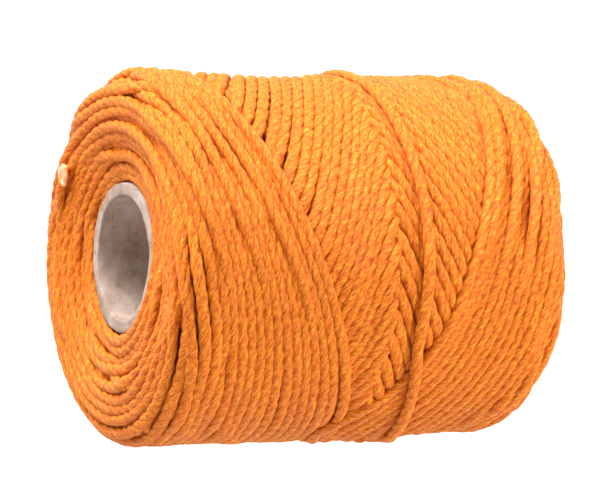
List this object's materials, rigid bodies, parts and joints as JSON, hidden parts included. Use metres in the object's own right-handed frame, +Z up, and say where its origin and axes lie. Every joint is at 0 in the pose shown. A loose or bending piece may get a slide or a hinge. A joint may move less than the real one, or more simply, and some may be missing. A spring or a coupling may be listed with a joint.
{
  "type": "twisted line roll",
  "caption": "Roll of orange three-strand twisted layout line, cross-wound on a short open cardboard tube, outer end tucked under a locking turn.",
  "frame": {"origin": "centre of the roll's box, on the surface that the roll lies on", "axes": "+X along the tube's axis, from the end with the line's melted tip towards the far end; +Z up; the proud locking turn's visible run faces -Y"},
  "size_m": [0.064, 0.0572, 0.0573],
  "materials": {
    "line": "twisted orange polymer fibre, satin",
    "melted_tip": "heat-sealed, pale and glassy",
    "core_tube": "plain grey-brown board, matte"
  },
  "bodies": {
    "root": {"core_tube": "core_tube", "inner_winding": "line", "middle_winding": "line", "outer_winding": "line", "near_face_turns": "line", "far_face_turns": "line", "cross_layer_near": "line", "cross_layer_far": "line", "near_band": "line", "far_band": "line", "locking_turn": "line", "tuck_loop": "line", "sealed_tip": "melted_tip"}
  },
  "joints": []
}
